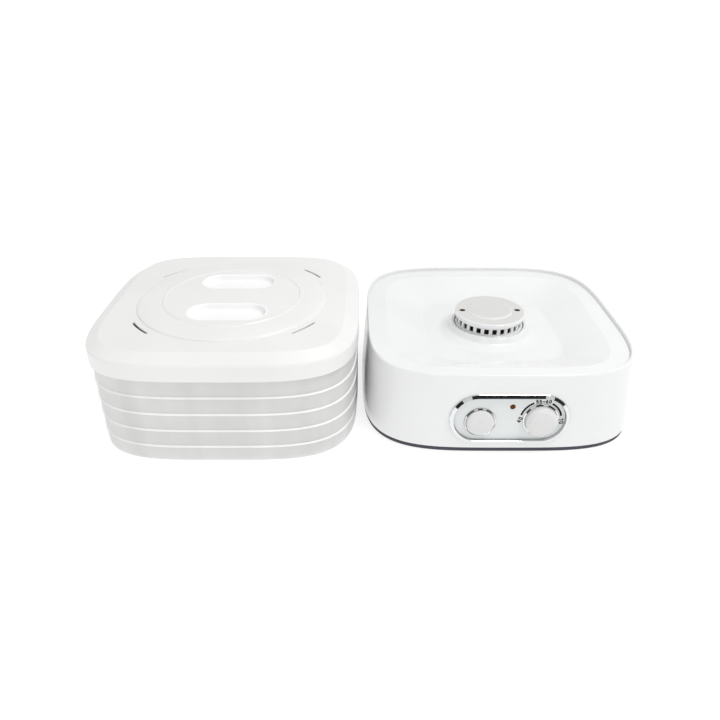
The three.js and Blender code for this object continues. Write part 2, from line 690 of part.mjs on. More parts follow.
piece("control_bezel", controlBezel(), MATERIALS.chrome, controls);
piece("control_panel", controlPanel(), MATERIALS.panel, controls);
const buttonRing = trimRing(BUTTON.radius + GAP + 0.1, BUTTON.ring, PANEL.back, 0.9);
const knobRing = trimRing(KNOB.radius + GAP + 0.1, KNOB.ring, PANEL.front + GAP, 1.1);
const controlPieces = [
  ["button_ring", buttonRing, MATERIALS.chrome, BUTTON],
  ["power_button", powerButton(), MATERIALS.glossWhite, BUTTON],
  ["power_switch", powerSwitch(), MATERIALS.blackPlastic, BUTTON],
  ["knob_ring", knobRing, MATERIALS.chrome, KNOB],
  ["temperature_knob", temperatureKnob(), MATERIALS.glossWhite, KNOB],
  ["thermostat_shaft", thermostatShaft(), MATERIALS.steel, KNOB],
  ["thermostat", thermostat(), MATERIALS.blackPlastic, KNOB],
  ["indicator_lens", indicatorLens(), MATERIALS.amber, LAMP],
  ["indicator_lamp", disc(2.4, -16, -4 - GAP, SMALL_ROUND), MATERIALS.blackPlastic, LAMP],
];
for (const [name, shape, material, { x, y }] of controlPieces) {
  piece(name, shape, material, controls).position.set(x, y, 0);
}

piece("lead_gland_to_switch", lead([[60, 158, 20], [96, 140, 12], [128, 60, 10], [120, -70, 12], [20, -122, 16],
  [-30, -130, 30], [-34, -139.5, 45]]), MATERIALS.lead, base);
piece("lead_thermostat_to_heater", lead([[36, -142, 48], [34, -120, 40], [28, -80, 34], [22, -62, 46],
  [16, -57, 66]]), MATERIALS.lead, base);

const stack = new THREE.Group();
stack.position.copy(STACK_CENTRE);
dehydrator.add(stack);

const trayShape = tray();
for (let level = 0; level < TRAY_COUNT; level++) {
  const placed = piece("tray_" + (level + 1), trayShape, MATERIALS.trayClear, stack);
  placed.position.z = level * TRAY_PITCH;
}
piece("lid", lid(), MATERIALS.lidWhite, stack);

export default dehydrator;
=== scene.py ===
"""The looks of the food dehydrator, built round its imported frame.

Sizes are in millimetres until a mesh is made, which is in metres like the frame.
"""
import json
import math

import bmesh
import bpy
from mathutils import Matrix, Vector


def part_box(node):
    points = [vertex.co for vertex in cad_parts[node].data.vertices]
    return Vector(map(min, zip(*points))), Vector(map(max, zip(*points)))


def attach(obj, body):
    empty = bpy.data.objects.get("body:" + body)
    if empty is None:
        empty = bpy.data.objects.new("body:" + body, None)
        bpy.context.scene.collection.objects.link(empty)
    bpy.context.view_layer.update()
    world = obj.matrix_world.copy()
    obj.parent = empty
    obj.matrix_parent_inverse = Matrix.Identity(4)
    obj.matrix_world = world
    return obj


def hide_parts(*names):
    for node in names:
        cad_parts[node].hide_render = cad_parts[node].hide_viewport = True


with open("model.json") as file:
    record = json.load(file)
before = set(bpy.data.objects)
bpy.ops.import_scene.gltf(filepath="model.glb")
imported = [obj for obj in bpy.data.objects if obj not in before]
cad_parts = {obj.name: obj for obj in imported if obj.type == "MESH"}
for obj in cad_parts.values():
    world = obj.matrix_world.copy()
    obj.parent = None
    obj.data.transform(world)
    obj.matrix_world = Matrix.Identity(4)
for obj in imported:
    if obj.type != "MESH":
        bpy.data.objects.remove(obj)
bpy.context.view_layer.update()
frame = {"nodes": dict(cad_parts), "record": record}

MM = 0.001


# ---------------------------------------------------------------- places and sizes

def middle(node):
    """The centre of a node's box, in millimetres."""
    low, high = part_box(node)
    return [(a + b) / 2 / MM for a, b in zip(low, high)]


def low_z(node):
    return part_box(node)[0][2] / MM


def high_z(node):
    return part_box(node)[1][2] / MM


def half_width(node):
    low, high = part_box(node)
    return (high[0] - low[0]) / 2 / MM


BASE_X, BASE_Y = middle("turret_cap")[:2]
STACK_X, STACK_Y = middle("tray_1")[:2]

SQUARE = 4.0  # exponent of the rounded-square outlines: 2 is a circle
TIGHT_SQUARE = 5.0
CIRCLE = 2.0
CORNER_BIAS = 0.4  # how far an outline's points are drawn towards its corners
OUTLINE = 200  # points round a rounded square
ROUND = 96  # points round a circle or a stadium
FILLET_STEPS = 5
ARM_SHARE = 0.48  # the most of a profile's side that one fillet may take
NEARLY_STRAIGHT = 0.02  # a corner this many radians short of straight stays as it is
ON_AXIS = 1e-4  # radius of a ring on the axis, whose points are merged later
MERGE_DISTANCE, DEGENERATE_LENGTH = 1e-6, 1e-7  # in metres

FOOT_HALF = half_width("outer_shell")
RIM_TOP = high_z("outer_shell")
RIM_HALF = FOOT_HALF - 6.6
RIM_INNER = 161.8
FOOT_Z = low_z("outer_shell") + 1.2
RIM_SHOULDER = RIM_TOP - 1.8
LEDGE_Z = high_z("inner_dish")
LEDGE_INNER = 138.0
DISH_FLOOR_HALF = 88.0
DISH_FLOOR_Z = LEDGE_Z - 21.2
TURRET_SEAT = low_z("turret_cage") - 0.3
COLLAR_TOP = TURRET_SEAT + 3.0
COLLAR_BORE, COLLAR_OUTER = 46.6, 50.3

CAP_RADIUS = half_width("turret_cap")
CAP_BOTTOM = low_z("turret_cap")
CAP_TOP = high_z("turret_cap")
CAP_RIM_TOP = CAP_TOP - 2.4
CAP_DISC = 28.5
CAP_SCREW = 37.0
CAGE_SLOTS = 26
CAGE_RADIUS = 43.5
CAGE_FLANGE = 45.0
INTAKE_SLOTS = 12

WALL_SLOPE = math.atan((FOOT_HALF - RIM_HALF) / (RIM_SHOULDER - FOOT_Z))
CONTROLS_Z = 46.0
BEZEL_LENGTH, BEZEL_HEIGHT = 70.5, 33.0
BUTTON_X, BUTTON_Y = -34.3, -4.0
KNOB_X, DIAL_Y = 36.7, -1.0
LAMP_X, LAMP_Y = 2.6, 16.0
PRINT_Z, PRINT_THICK = -1.29, 0.05

TRAY_PITCH = low_z("tray_2") - low_z("tray_1")
TRAY_COUNT = 5
TRAY_INNER = 155.4
TRAY_GRID_EDGE = 149.0
TRAY_DUCT = 54.0

LID_HALF = half_width("lid")
LID_TOP = high_z("lid")
LID_BOTTOM = low_z("lid")
LID_SHOULDER = LID_TOP - 11.0
LID_PLATEAU, LID_PLATEAU_Z = 145.0, LID_TOP - 2.8
LID_DOME, LID_DOME_FOOT = 120.0, LID_TOP - 4.2
LID_DISC_Z = LID_TOP - 0.6
LID_RING = 86.7
GRIP_Y, GRIP_LENGTH, GRIP_WIDTH, GRIP_FLOOR = 47.0, 47.5, 22.5, LID_DISC_Z - 7.6
VENT_RADIUS, VENT_WIDTH, VENT_ARC = 129.0, 3.2, math.radians(16)
VENT_ANGLES = [math.radians(a) for a in (41, 139, 221, 319)]


# ---------------------------------------------------------------- outlines and profiles

def reach(angle, exponent):
    """How far a rounded square of half width 1 reaches in the direction of an angle."""
    along = abs(math.cos(angle)) ** exponent
    across = abs(math.sin(angle)) ** exponent
    return (along + across) ** (-1 / exponent)


def square_ring(half, z, exponent=SQUARE, count=OUTLINE):
    """Points round a rounded square, closer together at its corners."""
    ring = []
    for i in range(count):
        turn = 2 * math.pi * i / count
        angle = turn + CORNER_BIAS * math.sin(4 * turn) / 4
        radius = half * reach(angle, exponent)
        ring.append((radius * math.cos(angle), radius * math.sin(angle), z))
    return ring


def round_ring(radius, z, count=ROUND):
    return square_ring(radius, z, CIRCLE, count)


def stadium_ring(half_length, half_height, z, count=ROUND):
    """Points round a shape with straight sides and round ends."""
    straight = half_length - half_height
    side_points = 8
    arc_points = count // 2 - side_points
    ring = []
    for side in (1, -1):
        for i in range(arc_points):
            angle = math.pi * (i / (arc_points - 1) - 0.5)
            x = straight + half_height * math.cos(angle)
            ring.append((side * x, side * half_height * math.sin(angle), z))
        for i in range(1, side_points + 1):
            x = straight - 2 * straight * i / (side_points + 1)
            ring.append((side * x, side * half_height, z))
    return ring


def filleted(corners, closed=True, steps=FILLET_STEPS):
    """Rounds a profile's corners. A corner is (half width, z, fillet radius, exponent)."""
    full = [(*c, *(0.0, SQUARE)[len(c) - 2:]) for c in corners]
    points = []
    count = len(full)
    for i, (half, z, radius, exponent) in enumerate(full):
        at = Vector((half, z, exponent))
        if radius <= 0 or (not closed and i in (0, count - 1)):
            points.append(tuple(at))
            continue
        before = Vector((full[i - 1][0], full[i - 1][1], full[i - 1][3]))
        after_corner = full[(i + 1) % count]
        after = Vector((after_corner[0], after_corner[1], after_corner[3]))
        arms = []
        for other in (before, after):
            way = other - at
            arms.append((way, Vector((way.x, way.y)).length))
        (back, back_length), (forth, forth_length) = arms
        cosine = (back.x * forth.x + back.y * forth.y) / (back_length * forth_length)
        opening = math.acos(max(-1.0, min(1.0, cosine)))
        if opening > math.pi - NEARLY_STRAIGHT:
            points.append(tuple(at))
            continue
        most = ARM_SHARE * min(back_length, forth_length)
        setback = min(radius / math.tan(opening / 2), most)
        start = at + back * (setback / back_length)
        end = at + forth * (setback / forth_length)
        weight = math.cos(opening / 2) ** 0.5
        for k in range(steps + 1):
            t = k / steps
            a, b, c = (1 - t) ** 2, 2 * t * (1 - t) * weight, t ** 2
            points.append(tuple((start * a + at * b + end * c) / (a + b + c)))
    return points


# ---------------------------------------------------------------- meshes

def metres(points):
    return [(x * MM, y * MM, z * MM) for x, y, z in points]


def new_piece(name, vertices, faces, material=None, place=(0, 0, 0), smooth=True):
    """A mesh object from points in millimetres, moved to its place."""
    mesh = bpy.data.meshes.new(name)
    dx, dy, dz = place
    mesh.from_pydata(metres([(x + dx, y + dy, z + dz) for x, y, z in vertices]), [], faces)
    mesh.validate()
    piece = bpy.data.objects.new(name, mesh)
    bpy.context.scene.collection.objects.link(piece)
    clean(piece)
    if smooth:
        for polygon in mesh.polygons:
            polygon.use_smooth = True
    if material:
        mesh.materials.append(material)
    return piece


def clean(piece):
    """Merges doubled points and turns every face outwards."""
    work = bmesh.new()
    work.from_mesh(piece.data)
    bmesh.ops.remove_doubles(work, verts=work.verts, dist=MERGE_DISTANCE)
    bmesh.ops.dissolve_degenerate(work, edges=work.edges, dist=DEGENERATE_LENGTH)
    loose = [edge for edge in work.edges if not edge.link_faces]
    bmesh.ops.delete(work, geom=loose, context="EDGES")
    bmesh.ops.recalc_face_normals(work, faces=work.faces)
    work.to_mesh(piece.data)
    work.free()


def bridge(rings, closed):
    """(points, faces) of a skin over rings of equal counts. An open one gets a cap at each end."""
    count = len(rings[0])
    vertices = [p for ring in rings for p in ring]
    faces = []
    spans = len(rings) if closed else len(rings) - 1
    for j in range(spans):
        a, b = j * count, ((j + 1) % len(rings)) * count
        for i in range(count):
            k = (i + 1) % count
            faces.append((a + i, a + k, b + k, b + i))
    if not closed:
        faces.append(tuple(range(count)))
        faces.append(tuple(range((len(rings) - 1) * count, len(rings) * count)))
    return vertices, faces


def joined(parts):
    """One (points, faces) from several."""
    vertices, faces = [], []
    for more_vertices, more_faces in parts:
        shift = len(vertices)
        vertices += more_vertices
        faces += [tuple(i + shift for i in face) for face in more_faces]
    return vertices, faces


def square_loft(corners, closed=True, count=OUTLINE, steps=FILLET_STEPS):
    """A piece with a rounded-square outline. Its corners are those of filleted()."""
    profile = filleted(corners, closed, steps)
    return bridge([square_ring(half, z, exponent, count) for half, z, exponent in profile], closed)


def round_loft(corners, closed=False, count=ROUND):
    """A turned piece. A corner is (radius, z) or (radius, z, fillet radius)."""
    full = [(radius, z, fillet[0] if fillet else 0.0, CIRCLE) for radius, z, *fillet in corners]
    rings = [round_ring(max(radius, ON_AXIS), z, count) for radius, z, _ in filleted(full, closed)]
    return bridge(rings, closed)


def stadium_loft(corners, half_length, half_height, closed=False, count=ROUND):
    """A piece with a stadium outline. A corner is (outward offset, z, fillet radius)."""
    away = 1000.0  # keeps the profile clear of the axis while its corners are rounded
    full = [(offset + away, z, fillet[0] if fillet else 0.0, CIRCLE)
            for offset, z, *fillet in corners]
    rings = []
    for shifted, z, _ in filleted(full, closed):
        offset = shifted - away
        rings.append(stadium_ring(half_length + offset, half_height + offset, z, count))
    return bridge(rings, closed)


def bar(start, end, width, height, z, chamfer=0.35):
    """(points, faces) of a straight bar with chamfered long edges, z being its middle height."""
    start, end = Vector(start), Vector(end)
    along = (end - start).normalized()
    across = Vector((-along.y, along.x))
    w, h = width / 2, height / 2
    section = [(-w, -h + chamfer), (-w + chamfer, -h), (w - chamfer, -h), (w, -h + chamfer),
               (w, h - chamfer), (w - chamfer, h), (-w + chamfer, h), (-w, h - chamfer)]
    rings = []
    for tip in (start, end):
        rings.append([(tip.x + across.x * s, tip.y + across.y * s, z + t) for s, t in section])
    return bridge(rings, False)


def block(depth, width, height, x):
    """(points, faces) of a block with rounded edges along X, its middle at x on the X axis."""
    section = rounded_section(width / 2, height / 2, 0.6)
    return bridge([[(x + end, y, z) for y, z in section] for end in (-depth / 2, depth / 2)], False)


def rounded_section(half_width, half_height, radius):
    """Points round a rectangle with rounded corners, as (y, z)."""
    points = []
    steps = 3
    for k, (side, up) in enumerate(((1, 1), (-1, 1), (-1, -1), (1, -1))):
        for i in range(steps + 1):
            angle = math.pi / 2 * (k + i / steps)
            points.append((side * (half_width - radius) + radius * math.cos(angle),
                           up * (half_height - radius) + radius * math.sin(angle)))
    return points


def moved(part, shift=(0, 0, 0), turn=0.0):
    """(points, faces) turned about +Z and then shifted."""
    vertices, faces = part
    c, s = math.cos(turn), math.sin(turn)
    dx, dy, dz = shift
    return [(x * c - y * s + dx, x * s + y * c + dy, z + dz) for x, y, z in vertices], faces


def changed(piece, part, operation="DIFFERENCE", place=(0, 0, 0)):
    """Cuts a closed (points, faces) from a piece, or adds it, for good."""
    tool = new_piece("tool", *part, place=place)
    modifier = piece.modifiers.new("change", "BOOLEAN")
    modifier.operation = operation
    modifier.solver = "EXACT"
    modifier.object = tool
    bpy.context.view_layer.update()
    seen = piece.evaluated_get(bpy.context.evaluated_depsgraph_get())
    result = bpy.data.meshes.new_from_object(seen)
    old = piece.data
    piece.modifiers.remove(modifier)
    piece.data = result
    bpy.data.meshes.remove(old)
    mesh = tool.data
    bpy.data.objects.remove(tool)
    bpy.data.meshes.remove(mesh)
    for polygon in result.polygons:
        polygon.use_smooth = True
    return piece


def finished(piece, body, slot, *nodes, sharp=35):
    """Shades a piece, gives it its body and hides the nodes it stands for. Its slot is not used."""
    piece.data.set_sharp_from_angle(angle=math.radians(sharp))
    weighted = piece.modifiers.new("weighted", "WEIGHTED_NORMAL")
    weighted.keep_sharp = True
    weighted.weight = 80
    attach(piece, body)
    if nodes:
        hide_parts(*nodes)
    return piece


# ---------------------------------------------------------------- materials

FIELD_LOW, FIELD_HIGH = 0.3, 0.7  # the part of its range that a noise field mostly uses
RAMP_LOW, RAMP_HIGH = 0.32, 0.68


def material_nodes(name):
    material = bpy.data.materials.new(name)
    material.use_nodes = True
    tree = material.node_tree
    return material, tree, tree.nodes["Principled BSDF"]


def noise(tree, scale, detail=3.0, stretch=(1, 1, 1), seed=0.0):
    """A noise field over the piece's own coordinates, in metres."""
    place = tree.nodes.new("ShaderNodeTexCoord")
    mapping = tree.nodes.new("ShaderNodeMapping")
    mapping.inputs["Scale"].default_value = stretch
    mapping.inputs["Location"].default_value = (seed, seed, seed)
    field = tree.nodes.new("ShaderNodeTexNoise")
    field.inputs["Scale"].default_value = scale
    field.inputs["Detail"].default_value = detail
    tree.links.new(place.outputs["Object"], mapping.inputs["Vector"])
    tree.links.new(mapping.outputs["Vector"], field.inputs["Vector"])
    return field.outputs["Fac"]


def averaged(tree, first, second):
    """The mean of two fields."""
    mean = tree.nodes.new("ShaderNodeMix")
    mean.inputs["Factor"].default_value = 0.5
    tree.links.new(first, mean.inputs["A"])
    tree.links.new(second, mean.inputs["B"])
    return mean.outputs["Result"]


def spread(tree, source, low, high):
    """A value from low to high, following a field."""
    remap = tree.nodes.new("ShaderNodeMapRange")
    ends = (("From Min", FIELD_LOW), ("From Max", FIELD_HIGH), ("To Min", low), ("To Max", high))
    for key, value in ends:
        remap.inputs[key].default_value = value
    tree.links.new(source, remap.inputs["Value"])
    return remap.outputs["Result"]


def tinted(tree, source, dark, light):
    """A colour between dark and light."""
    ramp = tree.nodes.new("ShaderNodeValToRGB")
    ramp.color_ramp.elements[0].position = RAMP_LOW
    ramp.color_ramp.elements[0].color = (*dark, 1)
    ramp.color_ramp.elements[1].position = RAMP_HIGH
    ramp.color_ramp.elements[1].color = (*light, 1)
    tree.links.new(source, ramp.inputs["Fac"])
    return ramp.outputs["Color"]


def bump(tree, shader, source, height):
    """Makes a field the relief of a shader, its height being in metres."""
    relief = tree.nodes.new("ShaderNodeBump")
    relief.inputs["Distance"].default_value = height
    relief.inputs["Strength"].default_value = 1.0
    tree.links.new(source, relief.inputs["Height"])
    tree.links.new(relief.outputs["Normal"], shader.inputs["Normal"])


def moulded(name, colour, roughness, variation=0.012, grain=900.0, relief=0.00002, coat=0.0,
            metallic=0.0, swirl=14.0, rough_spread=0.04, specular=0.5):
    """A moulded or plated surface: faint clouds in its colour, fine grain and uneven gloss."""
    material, tree, shader = material_nodes(name)
    dark = [max(0.0, c * (1 - variation)) for c in colour]
    light = [min(1.0, c * (1 + variation)) for c in colour]
    clouds = noise(tree, swirl, 4.0)
    tree.links.new(tinted(tree, clouds, dark, light), shader.inputs["Base Color"])
    smears = noise(tree, swirl * 3, 2.0, seed=3.0)
    rough = spread(tree, smears, max(0.02, roughness - rough_spread), roughness + rough_spread)
    tree.links.new(rough, shader.inputs["Roughness"])
    shader.inputs["Metallic"].default_value = metallic
    shader.inputs["Specular IOR Level"].default_value = specular
    shader.inputs["Coat Weight"].default_value = coat
    shader.inputs["Coat Roughness"].default_value = 0.04
    bump(tree, shader, noise(tree, grain, 2.0, seed=7.0), relief)
    return material


def frosted(name, colour, roughness, transmission):
    """Frosted translucent plastic: flow clouds, upright flow streaks and a fine matt grain."""
    material, tree, shader = material_nodes(name)
    dark = [c * 0.87 for c in colour]
    clouds = noise(tree, 14.0, 3.0, stretch=(1, 1, 1.6))
    streaks = noise(tree, 36.0, 2.0, stretch=(1, 1, 0.03), seed=2.0)
    flow = averaged(tree, clouds, streaks)
    tree.links.new(tinted(tree, flow, dark, colour), shader.inputs["Base Color"])
    smears = noise(tree, 60.0, 4.0, seed=5.0)
    rough = spread(tree, smears, roughness - 0.06, roughness + 0.06)
    tree.links.new(rough, shader.inputs["Roughness"])
    shader.inputs["Transmission Weight"].default_value = transmission
    shader.inputs["IOR"].default_value = 1.49
    bump(tree, shader, noise(tree, 520.0, 2.0, seed=9.0), 0.00005)
    return material


def brushed(name, colour, roughness=0.32):
    """Bare metal with drawing lines."""
    material, tree, shader = material_nodes(name)
    lines = noise(tree, 160.0, 5.0, stretch=(1, 1, 40))
    dark = [c * 0.82 for c in colour]
    tree.links.new(tinted(tree, lines, dark, colour), shader.inputs["Base Color"])
    rough = spread(tree, lines, roughness - 0.1, roughness + 0.1)
    tree.links.new(rough, shader.inputs["Roughness"])
    shader.inputs["Metallic"].default_value = 1.0
    bump(tree, shader, lines, 0.00003)
    return material


MATERIALS = {
    "shell": moulded("shell_gloss", (0.815, 0.82, 0.82), 0.16, coat=0.15, relief=0.000008),
    "turret": moulded("turret_satin", (0.645, 0.645, 0.635), 0.33, grain=1400.0, relief=0.00003),
    "lid": moulded("lid_satin", (0.81, 0.81, 0.80), 0.34, variation=0.018, grain=1100.0,
                   relief=0.00001, rough_spread=0.015),
    "grip": moulded("grip_white", (0.91, 0.91, 0.91), 0.4, variation=0.006, grain=1100.0,
                    relief=0.00001),
    "tray": frosted("tray_frosted", (0.795, 0.795, 0.787), 0.42, 0.15),
    # tray_edge: a whiter copy of the tray's material, a painted highlight along each tray's bead
    "tray_edge": frosted("tray_bead_painted_highlight", (0.93, 0.93, 0.92), 0.55, 0.0),
    "bottom": moulded("bottom_dark", (0.05, 0.044, 0.066), 0.6, variation=0.08, grain=1500.0,
                      relief=0.00006),
    "rubber": moulded("rubber_black", (0.03, 0.03, 0.032), 0.75, variation=0.15, grain=1200.0,
                      relief=0.00008),
    "chrome": moulded("chrome_plate", (0.78, 0.79, 0.80), 0.055, metallic=1.0, relief=0.000004,
                      rough_spread=0.02),
    "panel": moulded("panel_pale", (0.735, 0.765, 0.76), 0.22, coat=0.4, relief=0.00001),
    "knob_white": moulded("knob_satin", (0.70, 0.70, 0.695), 0.30, grain=1600.0, relief=0.00002),
    "amber": moulded("lens_amber", (0.12, 0.032, 0.003), 0.5, variation=0.2, specular=0.12),
    "steel": brushed("steel_plain", (0.55, 0.56, 0.57)),
    "black_plastic": moulded("black_grained", (0.03, 0.03, 0.032), 0.5, variation=0.12,
                             relief=0.00006),
    "mica": moulded("mica_sheet", (0.20, 0.15, 0.085), 0.6, variation=0.2, swirl=60.0,
                    relief=0.00008),
    "heater_wire": brushed("resistance_wire", (0.16, 0.15, 0.14), 0.45),
    "lead": moulded("silicone_sleeve", (0.62, 0.62, 0.63), 0.5, variation=0.05),
    "print": moulded("print_black", (0.006, 0.006, 0.007), 0.65, variation=0.1, specular=0.12),
    "screw": brushed("screw_bronzed", (0.085, 0.05, 0.025), 0.5),
}


def dress_frame():
    """Gives every node of the frame the material of its slot."""
    for entry in frame["record"]["subparts"]:
        node = frame["nodes"][entry["node"]]
        node.data.materials.clear()
        node.data.materials.append(MATERIALS[entry["material_slot"]])


# ---------------------------------------------------------------- the front wall's frame

def on_wall(part):
    """(points, faces) drawn flat, x right, y up and z outwards, set on the sloping front wall."""
    vertices, faces = part
    wall_y = -(FOOT_HALF - math.tan(WALL_SLOPE) * (CONTROLS_Z - FOOT_Z))
    tilt = Matrix.Rotation(math.pi / 2 - WALL_SLOPE, 3, "X")
    placed = []
    for point in vertices:
        turned = tilt @ Vector(point)
        placed.append((turned.x + BASE_X, turned.y + BASE_Y + wall_y, turned.z + CONTROLS_Z))
    return placed, faces


# ---------------------------------------------------------------- base

def outer_shell():
    shell = new_piece("shell_wall", *square_loft([
        (FOOT_HALF - 0.5, FOOT_Z + 0.5, 0.4),
        (FOOT_HALF, FOOT_Z + 2.0, 1.5),
        (RIM_HALF, RIM_SHOULDER, 0.8),
        (RIM_HALF - 1.1, RIM_TOP, 1.0),
        (RIM_INNER + 0.5, RIM_TOP, 0.6),
        (RIM_INNER, RIM_TOP - 1.0, 0.4),
        (RIM_INNER, LEDGE_Z - 3.0),
        (RIM_HALF - 3.4, LEDGE_Z - 4.0),
        (FOOT_HALF - 3.2, FOOT_Z + 0.5),
    ]), MATERIALS["shell"], (BASE_X, BASE_Y, 0))
    overlap = 2.2  # of the bezel over the edge of its opening
    window = stadium_loft([(0, -12), (0, 12)], BEZEL_LENGTH - overlap, BEZEL_HEIGHT - overlap)
    changed(shell, on_wall(window))
    gx, gy, gz = middle("cord_gland")
    radius, inward = 7.2, 4
    vertices, faces = round_loft([(radius, -14), (radius, 14)], count=48)
    upright = [(x + gx, z + gy - inward, y + gz) for x, y, z in vertices]
    changed(shell, (upright, faces))
    return finished(shell, "base", "shell", "outer_shell")


def inner_dish():
    under = 2.4
    throat, seat_edge, groove = 42, 44.4, TURRET_SEAT - 3.0
    dish = new_piece("dish_bowl", *square_loft([
        (RIM_INNER + 0.4, LEDGE_Z, 0.3),
        (LEDGE_INNER, LEDGE_Z, 3.0, TIGHT_SQUARE),
        (DISH_FLOOR_HALF, DISH_FLOOR_Z, 14.0, TIGHT_SQUARE),
        (66, DISH_FLOOR_Z + 0.6, 12.0, CIRCLE),
        (54.5, DISH_FLOOR_Z + 6, 5.0, CIRCLE),
        (COLLAR_OUTER, COLLAR_TOP, 0.8, CIRCLE),
        (COLLAR_BORE + 0.2, COLLAR_TOP, 0.6, CIRCLE),
        (COLLAR_BORE, groove, 0.0, CIRCLE),
        (seat_edge, groove, 0.0, CIRCLE),
        (seat_edge, TURRET_SEAT, 0.0, CIRCLE),
        (throat, TURRET_SEAT, 0.0, CIRCLE),
        (throat, TURRET_SEAT - under, 0.0, CIRCLE),
        (49.5, TURRET_SEAT - under, 0.0, CIRCLE),
        (60, DISH_FLOOR_Z - under + 1, 0.0, CIRCLE),
        (DISH_FLOOR_HALF, DISH_FLOOR_Z - under, 0.0, TIGHT_SQUARE),
        (LEDGE_INNER, LEDGE_Z - under, 0.0, TIGHT_SQUARE),
        (RIM_INNER + 0.4, LEDGE_Z - under, 0.0),
    ], steps=8), MATERIALS["shell"], (BASE_X, BASE_Y, 0))
    return finished(dish, "base", "shell", "inner_dish")


def pan_screw(radius, height, shank, length):
    """A pan-head screw whose head's top is at z 0 and whose shank hangs down."""
    return round_loft([
        (0, 0), (radius * 0.55, -0.05, 0.4), (radius, -height * 0.55, 0.8), (radius, -height, 0.1),
        (shank, -height, 0.1), (shank, -height - length + 1.5, 0.2), (0, -height - length),
    ], count=40)


def cross_recess(radius, depth):
    """The two cutters of a cross-shaped screw recess, at z 0."""
    arm = bar((-radius, 0), (radius, 0), 0.75, depth * 2, 0.0, 0.05)
    return [moved(arm, turn=turn) for turn in (0, math.pi / 2)]


def turned_over(part):
    """(points, faces) turned half round the X axis."""
    vertices, faces = part
    return [(x, -y, -z) for x, y, z in vertices], faces


def screws():
    """Each screw of the frame, with a cross recess in its head."""
    for name in sorted(frame["nodes"]):
        if "screw" not in name:
            continue
        x, y, _ = middle(name)
        on_top = name.startswith("cap")
        head, height, shank = (3.95, 1.6, 1.3) if on_top else (4.4, 2.6, 1.8)
        length = high_z(name) - low_z(name) - height
        part = pan_screw(head, height, shank, length)
        arms = cross_recess(head * 0.55, 0.9)
        if not on_top:
            part = turned_over(part)
        place = (x, y, CAP_RIM_TOP - 0.05 if on_top else low_z(name))
        material = MATERIALS["screw" if on_top else "steel"]
        screw = new_piece(name + "_detailed", *part, material, place)
        for arm in arms:
            changed(screw, arm, place=place)
        finished(screw, "base", "steel", name)


def turret_cage():
    wall, shelf = 2.2, 32
    top = CAP_BOTTOM - 0.3
    cage = new_piece("turret_grille", *round_loft([
        (CAGE_RADIUS - wall, TURRET_SEAT + 0.3),
        (CAGE_FLANGE, TURRET_SEAT + 0.3, 0.3),
        (CAGE_FLANGE, TURRET_SEAT + 1.9, 0.5),
        (CAGE_RADIUS, TURRET_SEAT + 2.4, 0.5),
        (CAGE_RADIUS, top, 0.3),
        (shelf, top),
        (shelf, top - 2),
        (CAGE_RADIUS - wall, top - 2),
    ], closed=True, count=208), MATERIALS["shell"], (BASE_X, BASE_Y, 0))
    slots = []
    slot = block(6.0, 6.0, 7.6, CAGE_RADIUS)
    for i in range(CAGE_SLOTS):
        angle = 2 * math.pi * (i + 0.5) / CAGE_SLOTS
        slots.append(moved(slot, (0, 0, TURRET_SEAT + 8.0), angle))
    changed(cage, joined(slots), place=(BASE_X, BASE_Y, 0))
    return finished(cage, "base", "shell", "turret_cage")


def turret_cap():
    cap = new_piece("turret_cover", *round_loft([
        (0, CAP_BOTTOM),
        (CAP_RADIUS - 0.6, CAP_BOTTOM, 0.4),
        (CAP_RADIUS, CAP_BOTTOM + 0.9, 0.5),
        (CAP_RADIUS, CAP_RIM_TOP, 2.0),
        (CAP_DISC + 1.4, CAP_RIM_TOP, 0.3),
        (CAP_DISC + 0.4, CAP_RIM_TOP + 1.5, 0.9),
        (CAP_DISC - 2.6, CAP_TOP, 1.8),
        (0, CAP_TOP),
    ], count=128), MATERIALS["turret"], (BASE_X, BASE_Y, 0))
    well = round_loft([
        (0, -4.0), (4.1, -4.0), (4.1, -0.3), (4.5, 0.2), (4.5, 2), (0, 2),
    ], count=48)
    for side in (-1, 1):
        changed(cap, well, place=(BASE_X + side * CAP_SCREW, BASE_Y, CAP_RIM_TOP))
    cap.data.materials.append(MATERIALS["shell"])
    level = 0.93  # faces that slope more than this take the whiter shell material, a painted highlight on the cap's rim and fillets; the flat top stays satin grey
    for polygon in cap.data.polygons:
        if abs(polygon.normal.z) < level:
            polygon.material_index = 1
    return finished(cap, "base", "turret", "turret_cap")


def bottom_plate():
    edge = 171.0
    under = low_z("bottom_plate")
    seam = FOOT_Z + 0.2
    inside = 4.5
    plate = new_piece("bottom_tray", *square_loft([
        (0, under, 0.0, CIRCLE),
        (edge, under, 0.8),
        (edge, seam, 0.2),
        (edge - 2.6, seam, 0.0),
        (edge - 3.0, seam + 3.7, 0.3),
        (edge - 4.9, seam + 3.7, 0.3),
        (edge - 4.9, inside, 0.0),
        (0, inside, 0.0, CIRCLE),
    ], closed=False), MATERIALS["bottom"], (BASE_X, BASE_Y, 0))
    slot = moved(stadium_loft([(0, -3), (0, 9)], 15, 1.8, count=40), (31, 0, 0))
    slots = [moved(slot, turn=2 * math.pi * i / INTAKE_SLOTS) for i in range(INTAKE_SLOTS)]
    changed(plate, joined(slots), place=(BASE_X, BASE_Y, 0))
    seats = []
    for node in sorted(frame["nodes"]):
        if not node.startswith(("foot_", "housing_screw_")):
            continue
        x, y, _ = middle(node)
        radius = 8.4 if node.startswith("foot_") else 5.4
        seats.append(moved(round_loft([(radius, -2), (radius, 3.4)], count=40), (x, y, 0)))
    changed(plate, joined(seats))
    return finished(plate, "base", "bottom", "bottom_plate")


